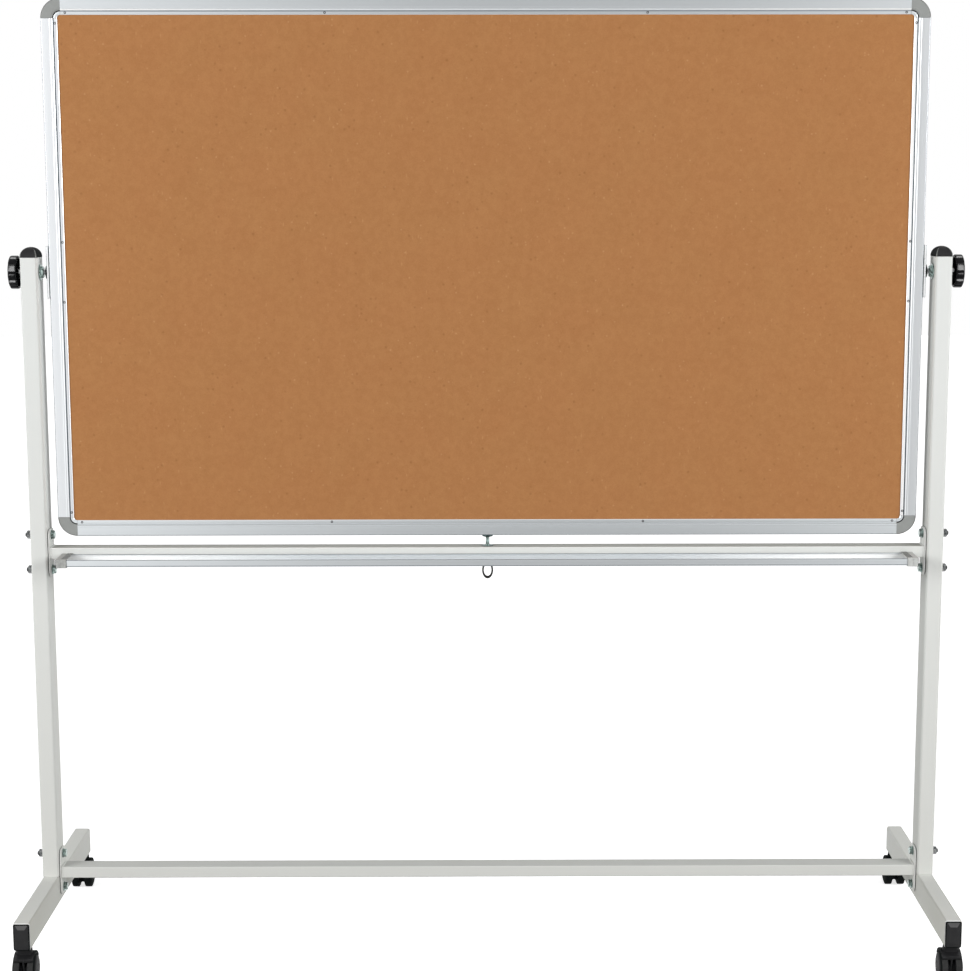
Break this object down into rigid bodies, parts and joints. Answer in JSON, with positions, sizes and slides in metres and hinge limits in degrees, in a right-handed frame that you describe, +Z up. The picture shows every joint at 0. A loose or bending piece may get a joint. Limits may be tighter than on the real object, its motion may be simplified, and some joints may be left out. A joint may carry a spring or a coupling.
{
  "type": "reversible board on a rolling stand",
  "caption": "Tilting board with a cork face and a white steel writing face, clamped between two posts on a rolling stand with a pen tray and a sprung lock pin.",
  "frame": {"origin": "on the floor, under the middle of the whole object's outline", "axes": "+Z up; X along the board, +X to the right seen from the cork side; the cork faces -Y and the white steel +Y"},
  "size_m": [1.6358, 0.5456, 1.6485],
  "materials": {
    "stand_paint": "smooth satin paint, near-white warm grey",
    "frame_aluminium": "satin anodised",
    "tray_aluminium": "satin anodised",
    "corner_plastic": "fine moulded grain, mid grey",
    "black_plastic": "satin black moulding",
    "caster_plastic": "satin black moulding",
    "wheel_plastic": "hard black tread",
    "friction_plastic": "matt dark fibre",
    "cork": "pressed fine-grain cork, matt",
    "board_core": "pressed fibre board",
    "white_steel": "glossy white coated steel",
    "zinc_steel": "zinc plated, blue-green passivated",
    "pivot_steel": "bare satin steel",
    "spring_steel": "drawn spring wire",
    "ring_wire": "blackened wire"
  },
  "bodies": {
    "stand": {"post_left": "stand_paint", "foot_left": "stand_paint", "post_cap_left": "black_plastic", "tray_cap_left": "corner_plastic", "foot_cap_front_left": "black_plastic", "foot_cap_rear_left": "black_plastic", "bolt_upper_left_bottom": "zinc_steel", "bolt_upper_left_top": "zinc_steel", "bolt_lower_left_bottom": "zinc_steel", "bolt_lower_left_top": "zinc_steel", "post_right": "stand_paint", "foot_right": "stand_paint", "post_cap_right": "black_plastic", "tray_cap_right": "corner_plastic", "foot_cap_front_right": "black_plastic", "foot_cap_rear_right": "black_plastic", "bolt_upper_right_bottom": "zinc_steel", "bolt_upper_right_top": "zinc_steel", "bolt_lower_right_bottom": "zinc_steel", "bolt_lower_right_top": "zinc_steel", "crossbar_upper": "stand_paint", "crossbar_lower": "stand_paint", "pen_tray": "tray_aluminium", "lock_guide_bush": "zinc_steel"},
    "board": {"board_core": "board_core", "cork_sheet": "cork", "writing_sheet": "white_steel", "rail_top": "frame_aluminium", "rail_bottom": "frame_aluminium", "rail_left": "frame_aluminium", "rail_right": "frame_aluminium", "catch_bush_top": "zinc_steel", "corner_top_left": "corner_plastic", "corner_top_right": "corner_plastic", "catch_bush_bottom": "zinc_steel", "corner_bottom_left": "corner_plastic", "corner_bottom_right": "corner_plastic", "pivot_plate_left": "pivot_steel", "friction_washer_left": "friction_plastic", "pivot_nut_left": "zinc_steel", "pivot_plate_right": "pivot_steel", "friction_washer_right": "friction_plastic", "pivot_nut_right": "zinc_steel"},
    "knob_left": {"knob_left": "black_plastic"},
    "knob_right": {"knob_right": "black_plastic"},
    "lock": {"lock_pin": "zinc_steel", "lock_spring": "spring_steel"},
    "ring": {"pull_ring": "ring_wire"},
    "caster_front_left": {"caster_front_left": "caster_plastic"},
    "wheel_front_left_inner": {"wheel_front_left_inner": "wheel_plastic"},
    "wheel_front_left_outer": {"wheel_front_left_outer": "wheel_plastic"},
    "caster_front_right": {"caster_front_right": "caster_plastic"},
    "wheel_front_right_inner": {"wheel_front_right_inner": "wheel_plastic"},
    "wheel_front_right_outer": {"wheel_front_right_outer": "wheel_plastic"},
    "caster_rear_left": {"caster_rear_left": "caster_plastic"},
    "wheel_rear_left_inner": {"wheel_rear_left_inner": "wheel_plastic"},
    "wheel_rear_left_outer": {"wheel_rear_left_outer": "wheel_plastic"},
    "caster_rear_right": {"caster_rear_right": "caster_plastic"},
    "wheel_rear_right_inner": {"wheel_rear_right_inner": "wheel_plastic"},
    "wheel_rear_right_outer": {"wheel_rear_right_outer": "wheel_plastic"}
  },
  "joints": [
    {"name": "board_flip", "type": "hinge", "parent": "stand", "child": "board", "pos_m": [0, -0.0082, 1.187], "axis": [1, 0, 0], "continuous": true},
    {"name": "lock_lift", "type": "slide", "parent": "stand", "child": "lock", "axis": [0, 0, 1], "range_m": [0, 0.008], "deforming": ["lock_spring"]},
    {"name": "ring_swing", "type": "hinge", "parent": "lock", "child": "ring", "pos_m": [0, -0.0082, 0.6785], "axis": [1, 0, 0], "range_deg": [-80, 80]},
    {"name": "knob_turn_left", "type": "hinge", "parent": "board", "child": "knob_left", "pos_m": [-0.8, -0.0082, 1.187], "axis": [1, 0, 0], "continuous": true},
    {"name": "knob_turn_right", "type": "hinge", "parent": "board", "child": "knob_right", "pos_m": [0.8, -0.0082, 1.187], "axis": [1, 0, 0], "continuous": true},
    {"name": "swivel_front_left", "type": "hinge", "parent": "stand", "child": "caster_front_left", "pos_m": [-0.7825, -0.2552, 0.06], "axis": [0, 0, 1], "continuous": true},
    {"name": "roll_front_left_inner", "type": "hinge", "parent": "caster_front_left", "child": "wheel_front_left_inner", "pos_m": [-0.7705, -0.2462, 0.025], "axis": [1, 0, 0], "continuous": true},
    {"name": "roll_front_left_outer", "type": "hinge", "parent": "caster_front_left", "child": "wheel_front_left_outer", "pos_m": [-0.7945, -0.2462, 0.025], "axis": [1, 0, 0], "continuous": true},
    {"name": "swivel_front_right", "type": "hinge", "parent": "stand", "child": "caster_front_right", "pos_m": [0.7825, -0.2552, 0.06], "axis": [0, 0, 1], "continuous": true},
    {"name": "roll_front_right_inner", "type": "hinge", "parent": "caster_front_right", "child": "wheel_front_right_inner", "pos_m": [0.7705, -0.2462, 0.025], "axis": [1, 0, 0], "continuous": true},
    {"name": "roll_front_right_outer", "type": "hinge", "parent": "caster_front_right", "child": "wheel_front_right_outer", "pos_m": [0.7945, -0.2462, 0.025], "axis": [1, 0, 0], "continuous": true},
    {"name": "swivel_rear_left", "type": "hinge", "parent": "stand", "child": "caster_rear_left", "pos_m": [-0.7825, 0.2388, 0.06], "axis": [0, 0, 1], "continuous": true},
    {"name": "roll_rear_left_inner", "type": "hinge", "parent": "caster_rear_left", "child": "wheel_rear_left_inner", "pos_m": [-0.7705, 0.2478, 0.025], "axis": [1, 0, 0], "continuous": true},
    {"name": "roll_rear_left_outer", "type": "hinge", "parent": "caster_rear_left", "child": "wheel_rear_left_outer", "pos_m": [-0.7945, 0.2478, 0.025], "axis": [1, 0, 0], "continuous": true},
    {"name": "swivel_rear_right", "type": "hinge", "parent": "stand", "child": "caster_rear_right", "pos_m": [0.7825, 0.2388, 0.06], "axis": [0, 0, 1], "continuous": true},
    {"name": "roll_rear_right_inner", "type": "hinge", "parent": "caster_rear_right", "child": "wheel_rear_right_inner", "pos_m": [0.7705, 0.2478, 0.025], "axis": [1, 0, 0], "continuous": true},
    {"name": "roll_rear_right_outer", "type": "hinge", "parent": "caster_rear_right", "child": "wheel_rear_right_outer", "pos_m": [0.7945, 0.2478, 0.025], "axis": [1, 0, 0], "continuous": true}
  ]
}
